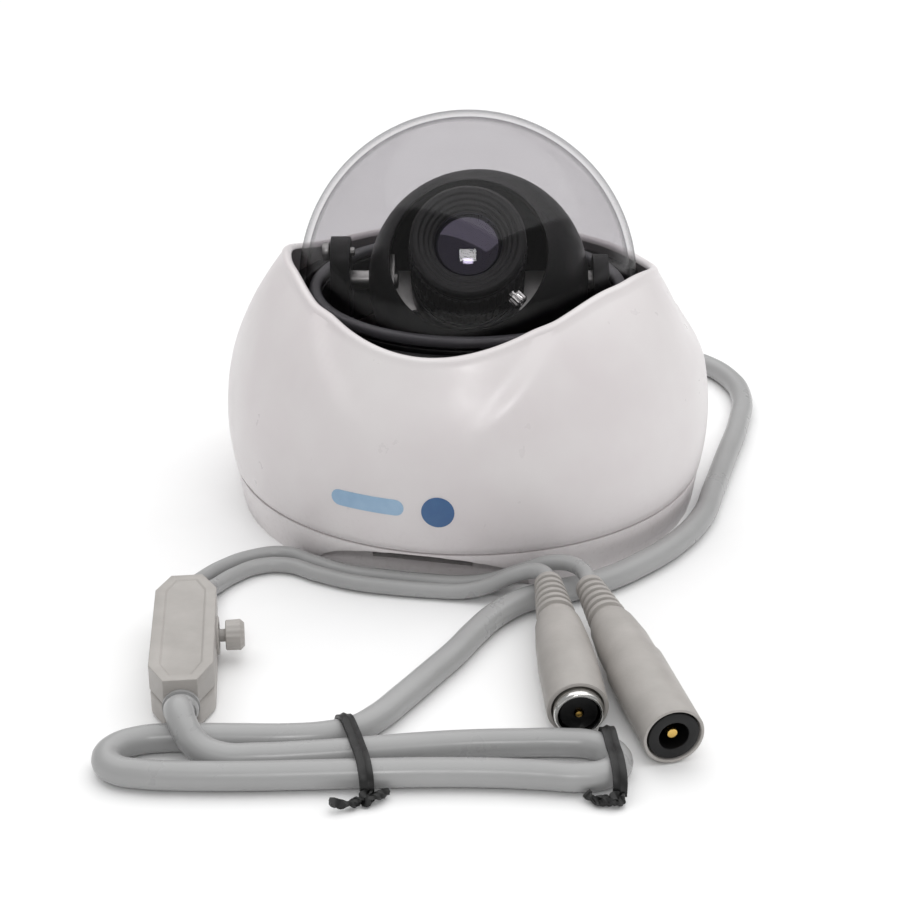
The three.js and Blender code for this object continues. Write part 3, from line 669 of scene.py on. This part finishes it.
# ---------- parts carried over from the frame, with their edges eased ----------
def from_frame(node, width):
    """A copy of a node's mesh in millimetres: corners merged, flat faces made whole, edges rounded."""
    shape = bmesh.new()
    shape.from_mesh(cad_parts[node].data)
    shape.transform(Matrix.Scale(1 / MM, 4))
    bmesh.ops.remove_doubles(shape, verts=shape.verts, dist=2e-3)
    bmesh.ops.dissolve_limit(shape, angle_limit=math.radians(0.6), verts=shape.verts, edges=shape.edges)
    return eased(shape, width, above=40, segments=2) if width else shape


CARRIED = {
    "base_ring": ("root", HOUSING, 0.35),
    "cover_seal": ("root", RUBBER, 0.3),
    "main_board": ("root", BOARD, 0.1),
    "board_screw_1": ("root", ZINC, 0.25),
    "board_screw_2": ("root", ZINC, 0.25),
    "board_screw_3": ("root", ZINC, 0.25),
    "board_connector": ("root", WHITE_NYLON, 0.3),
    "board_capacitor": ("root", CHARCOAL_AND_SHEEN, 0.3),
    "pan_base": ("root", BLACK, 0.3),
    "pan_clip": ("root", ZINC, 0.15),
    "controller_board": ("root", BOARD, 0.1),
    "dome_gasket": ("cover", RUBBER, 0.2),
    "dome_clamp_ring": ("cover", CHARCOAL_AND_SHEEN, 0.25),
    "clamp_screw_1": ("cover", ZINC, 0.25),
    "clamp_screw_2": ("cover", ZINC, 0.25),
    "clamp_screw_3": ("cover", ZINC, 0.25),
    "turntable": ("pan", BLACK, 0.3),
    "yoke_left": ("pan", BLACK, 0.6),
    "yoke_right": ("pan", BLACK, 0.6),
    "pan_lock_screw": ("pan", ZINC, 0.3),
    "tilt_lock_screw": ("pan", ZINC, 0.3),
    "camera_bracket": ("tilt", ZINC, 0.2),
    "tilt_pin_left": ("tilt", ZINC, 0.3),
    "tilt_pin_right": ("tilt", ZINC, 0.3),
    "sensor_board": ("camera", BOARD, 0.1),
    "sensor_chip": ("camera", GLASS, 0.1),
    "lens_mount": ("camera", BLACK, 0.3),
    "video_insulator": ("root", BLACK, 0.15),
    "video_pin": ("root", GOLD, 0.15),
    "power_pin": ("root", GOLD, 0.2),
    "joystick_pivot": ("stick_swing", ZINC, 0),
    "joystick_stick": ("stick_lean", BEIGE, 0.2),
}


def add_carried():
    for node, (body, look, width) in CARRIED.items():
        finished(node + "_eased", from_frame(node, width), body, look, node)


# ---------- gland, jacks and menu box ----------
def ribbed(low, high, foot, top, ribs, groove):
    """The side of a tapered strain relief with square grooves, from its foot upwards."""
    points = []
    pitch = (high - low) / ribs
    for i in range(ribs):
        start = low + i * pitch
        for share, inwards in ((0.0, 0), (0.55, 0), (0.6, groove), (0.95, groove)):
            z = start + share * pitch
            points.append((foot + (top - foot) * (z - low) / (high - low) - inwards, z))
    return points


def along(start, end):
    way = (Vector(end) - Vector(start)).normalized()
    lean = Vector((0, 0, 1)).rotation_difference(way).to_matrix().to_4x4()
    return FACING @ Matrix.Translation(start) @ lean


POWER_FROM, POWER_TO = (25.6, -69, 8.5), (38.4, -122.4, 6.3)
POWER_JACK = along(POWER_FROM, POWER_TO)
POWER_LONG = math.dist(POWER_FROM, POWER_TO)
VIDEO_JACK = along((17, -67.5, 8.5), (21.2, -116, 6.2))
VIDEO_BOOT = 42.5
JACK_NECK = (0.6, 14.4, 3, 4.2, 6, 0.9)  # low, high, foot, top, ribs, groove


def add_gland():
    side = [(3.6, 47), (3.6, 56.9), (4.5, 57), (4.5, 59), (3.9, 59.2)]
    gland = turned([(0, 47)] + side + ribbed(60, 69.4, 3.9, 3.2, 5, 0.5) + [(3.2, 70), (0, 70)], 64)
    place = shifted(0, 0, GLAND_Z) @ about("X", -90)
    finished("gland", eased(gland, 0.12, segments=2), "root", JACKET, "cable_gland", place=place)


def add_video_jack():
    side = [(0, 0), (2.7, 0)] + ribbed(*JACK_NECK) + [(4.2, 15), (4.8, 17.4), (5.5, 24), (6, 33)]
    sleeve = [(6, VIDEO_BOOT + 3.4), (5.1, VIDEO_BOOT + 3.4), (5.1, VIDEO_BOOT), (0, VIDEO_BOOT)]
    boot = turned(side + sleeve, 72)
    finished("video_boot_made", eased(boot, 0.3, segments=2), "root", BEIGE, "video_boot", place=VIDEO_JACK)
    start = VIDEO_BOOT + 0.3
    barrel = [(0, start), (4.85, start), (4.85, start + 4.7), (4.5, start + 5.1), (4.1, start + 5.1)]
    barrel = eased(turned(barrel + [(4.1, start + 1), (0, start + 1)], 72), 0.12, segments=2)
    finished("video_barrel_made", barrel, "root", NICKEL, "video_barrel", place=VIDEO_JACK)


def add_power_jack():
    end = POWER_LONG
    side = [(0, 0), (2.7, 0)] + ribbed(*JACK_NECK) + [(4.2, 15), (4.8, 17.4), (5.5, 24), (5.6, 31), (6, 32)]
    boot = turned(side + [(6, end), (5.3, end), (5.3, end - 9), (0, end - 9)], 72)
    finished("power_boot_made", eased(boot, 0.3, segments=2), "root", BEIGE, "power_boot", place=POWER_JACK)
    socket = turned([
        (0, end - 8.7), (5, end - 8.7), (5, end - 0.1), (2.9, end - 0.1), (2.9, end - 7.4), (0, end - 7.4),
    ], 72)
    finished("power_socket_made", eased(socket, 0.25), "root", BLACK, "power_socket", place=POWER_JACK)


def box_outline():
    """The menu box seen from above: an oblong with its ends drawn in."""
    end, side, slope, drawn = 20.8, 6.3, 6, 3
    quarter = [(end, side - drawn), (end - slope, side)]
    upper = quarter + [(-x, y) for x, y in reversed(quarter)]
    return upper + [(-x, -y) for x, y in upper]


def add_menu_box():
    split, low, high = 5.8, 0.2, 11.4
    stick = CONTROLLER @ shifted(-4.5, 2.4, split) @ about("X", -90)  # Z is the joystick's axis
    gap = 0.15  # half the groove that runs round the box
    lower = eased(prism(box_outline(), low, split - gap), 0.9, above=25)
    finished("box_lower", lower, "root", BEIGE, "controller_lower", place=CONTROLLER)
    upper = prism(box_outline(), split + gap, high)
    top = max(upper.faces, key=lambda face: face.calc_center_median().z)
    bmesh.ops.inset_region(upper, faces=[top], thickness=2.2)
    bmesh.ops.inset_region(upper, faces=[top], thickness=0.3, depth=-0.3)
    finished("box_upper", eased(upper, 0.9, above=40), "root", BEIGE, "controller_upper", place=CONTROLLER)
    # The collar's bore is wide enough for the stick to lean in.
    collar = turned([(2.6, 3.6), (3.9, 3.6), (3.9, 4.4), (2.6, 4.4)], 40)
    finished("stick_collar", eased(collar, 0.25), "root", BEIGE, place=stick)
    strain_relief = turned([
        (0, 20.9), (3.6, 20.9), (3.6, 21.6), (3.1, 21.7), (3.1, 22.2), (3.4, 22.3), (3.4, 22.9), (3, 23.6),
        (0, 23.6),
    ], 48)
    relief_place = CONTROLLER @ shifted(0, 0, split) @ about("Y", 90)
    finished("box_relief", strain_relief, "root", JACKET, "controller_relief", place=relief_place)
    socket = [(1.65, 5.7), (1.65, 7.5), (0, 7.5)]  # the stick's end sits in it
    knob = fluted([(0, 9.5), (2.4, 9.5), (3.2, 8.7), (3.1, 5.9), (2.9, 5.7)] + socket, 3.15, 16, 0.25)
    finished("stick_knob", knob, "stick_press", BEIGE, "joystick_cap", place=stick)


# ---------- wire ties ----------
def strip(points, width, thick, twist=0.0):
    """A flat plastic strip with a wire rib down its middle, bent along points and twisted by some degrees."""
    side, face, rib = width / 2, thick / 2, thick * 0.9
    ridge = [(rib, face), (0, face + rib / 2), (-rib, face)]
    outline = [(-side, -face), (side, -face), (side, face)] + ridge + [(-side, face)]
    section = bpy.data.curves.new("section", "CURVE")
    loop = section.splines.new("POLY")
    loop.points.add(len(outline) - 1)
    for knot, (x, y) in zip(loop.points, outline):
        knot.co = (x, y, 0, 1)
    loop.use_cyclic_u = True
    rail = bpy.data.curves.new("rail", "CURVE")
    rail.dimensions = "3D"
    rail.resolution_u = 6
    rail.bevel_mode = "OBJECT"
    rail.use_fill_caps = True
    rail.bevel_object = bpy.data.objects.new("section", section)
    line = rail.splines.new("BEZIER")
    line.bezier_points.add(len(points) - 1)
    for i, (knot, point) in enumerate(zip(line.bezier_points, points)):
        knot.co = point
        knot.handle_left_type = knot.handle_right_type = "AUTO"
        knot.tilt = math.radians(twist) * i / (len(points) - 1)
    holder = bpy.data.objects.new("rail", rail)
    bpy.context.collection.objects.link(holder)
    bpy.context.view_layer.update()
    data = bpy.data.meshes.new_from_object(holder.evaluated_get(bpy.context.evaluated_depsgraph_get()))
    shape = bmesh.new()
    shape.from_mesh(data)
    bmesh.ops.remove_doubles(shape, verts=shape.verts, dist=1e-3)
    cutter = rail.bevel_object
    for spare in (holder, cutter):
        bpy.data.objects.remove(spare)
    bpy.data.curves.remove(rail)
    bpy.data.curves.remove(section)
    bpy.data.meshes.remove(data)
    return shape


def add_ties():
    # Each band goes over the strands from side to side, and its ends are twisted together in front.
    left_band = [
        (-24.4, -111.9, 0.6), (-24.2, -112.8, 4), (-23.2, -115.6, 6.2), (-21.6, -120.2, 6.1),
        (-20.4, -124.6, 6.1), (-19.2, -129.4, 6.1), (-18.5, -132.6, 4.6), (-18.3, -133.6, 1.6),
    ]
    left_tails = [[
        (-18.3, -133.3, 1.4), (-18.8, -134.6, 2), (-19.8, -135.4, 1.4), (-21.6, -136.4, 1.2),
        (-24.8, -137.2, 2.4),
    ], [
        (-18.3, -133.3, 1.8), (-17.6, -134.4, 1.4), (-18.6, -135.6, 1.2), (-16.8, -134.6, 1.6),
        (-14.6, -132.8, 1.4),
    ]]
    right_band = [
        (25.8, -116.6, 0.6), (25.9, -117.3, 4), (26.2, -119.4, 6.1), (26.8, -124.8, 6), (27.3, -129.8, 6.1),
        (27.6, -133.2, 4.2), (27.5, -134.2, 1.4),
    ]
    right_tails = [[
        (27.5, -134, 1.4), (26.6, -135.2, 2.2), (24.8, -135.6, 1.4), (22.6, -134.6, 1.2), (21.4, -133.6, 1.8),
    ], [
        (27.5, -134, 1.9), (27.9, -135, 1.4), (26, -135.8, 1.3), (24.2, -134.9, 1.5), (23, -135.8, 1.3),
    ]]
    made = []
    for name, node, band, tails in (
        ("tie_left", "wire_tie_left", left_band, left_tails),
        ("tie_right", "wire_tie_right", right_band, right_tails),
    ):
        parts = [strip(band, 2.6, 0.7)] + [strip(tail, 1.7, 0.7, 540) for tail in tails]
        made.append(finished(name, joined(*parts), "root", TIE, node, place=FACING, sharp=45))
    return made


add_cover()
add_camera_head()
add_carried()
add_gland()
add_video_jack()
add_power_jack()
add_menu_box()
ties = add_ties()


# ---------- floor and light ----------
def add_floor():
    # Matt white card.
    card = moulded("white_card", "#F4F4F4", "#F7F7F7", 0.85, spots=40, grain=3, depth=0.002)
    shape = bmesh.new()
    bmesh.ops.create_grid(shape, x_segments=1, y_segments=1, size=6)
    data = bpy.data.meshes.new("floor")
    shape.to_mesh(data)
    shape.free()
    data.materials.append(card)
    floor = bpy.data.objects.new("floor", data)
    bpy.context.collection.objects.link(floor)


def add_light(name, size, power, place, target=(0, 0, 0.04)):
    data = bpy.data.lights.new(name, "AREA")
    data.shape = "RECTANGLE"
    data.size, data.size_y = size
    data.energy = power
    light = bpy.data.objects.new(name, data)
    light.location = place
    light.rotation_euler = (Vector(target) - Vector(place)).to_track_quat("-Z", "Y").to_euler()
    bpy.context.collection.objects.link(light)


def add_world():
    world = bpy.data.worlds.new("studio")
    world.use_nodes = True
    sky = world.node_tree.nodes["Background"]
    sky.inputs["Color"].default_value = (1, 1, 1, 1)
    sky.inputs["Strength"].default_value = 0.45
    bpy.context.scene.world = world


add_floor()
add_world()
bpy.context.scene.view_settings.view_transform = "Standard"
add_light("softbox_above", (2.8, 2.4), 27, (0.1, 0.3, 1.3))
add_light("softbox_front", (0.22, 0.16), 2.0, (0.2, -0.95, 0.75))
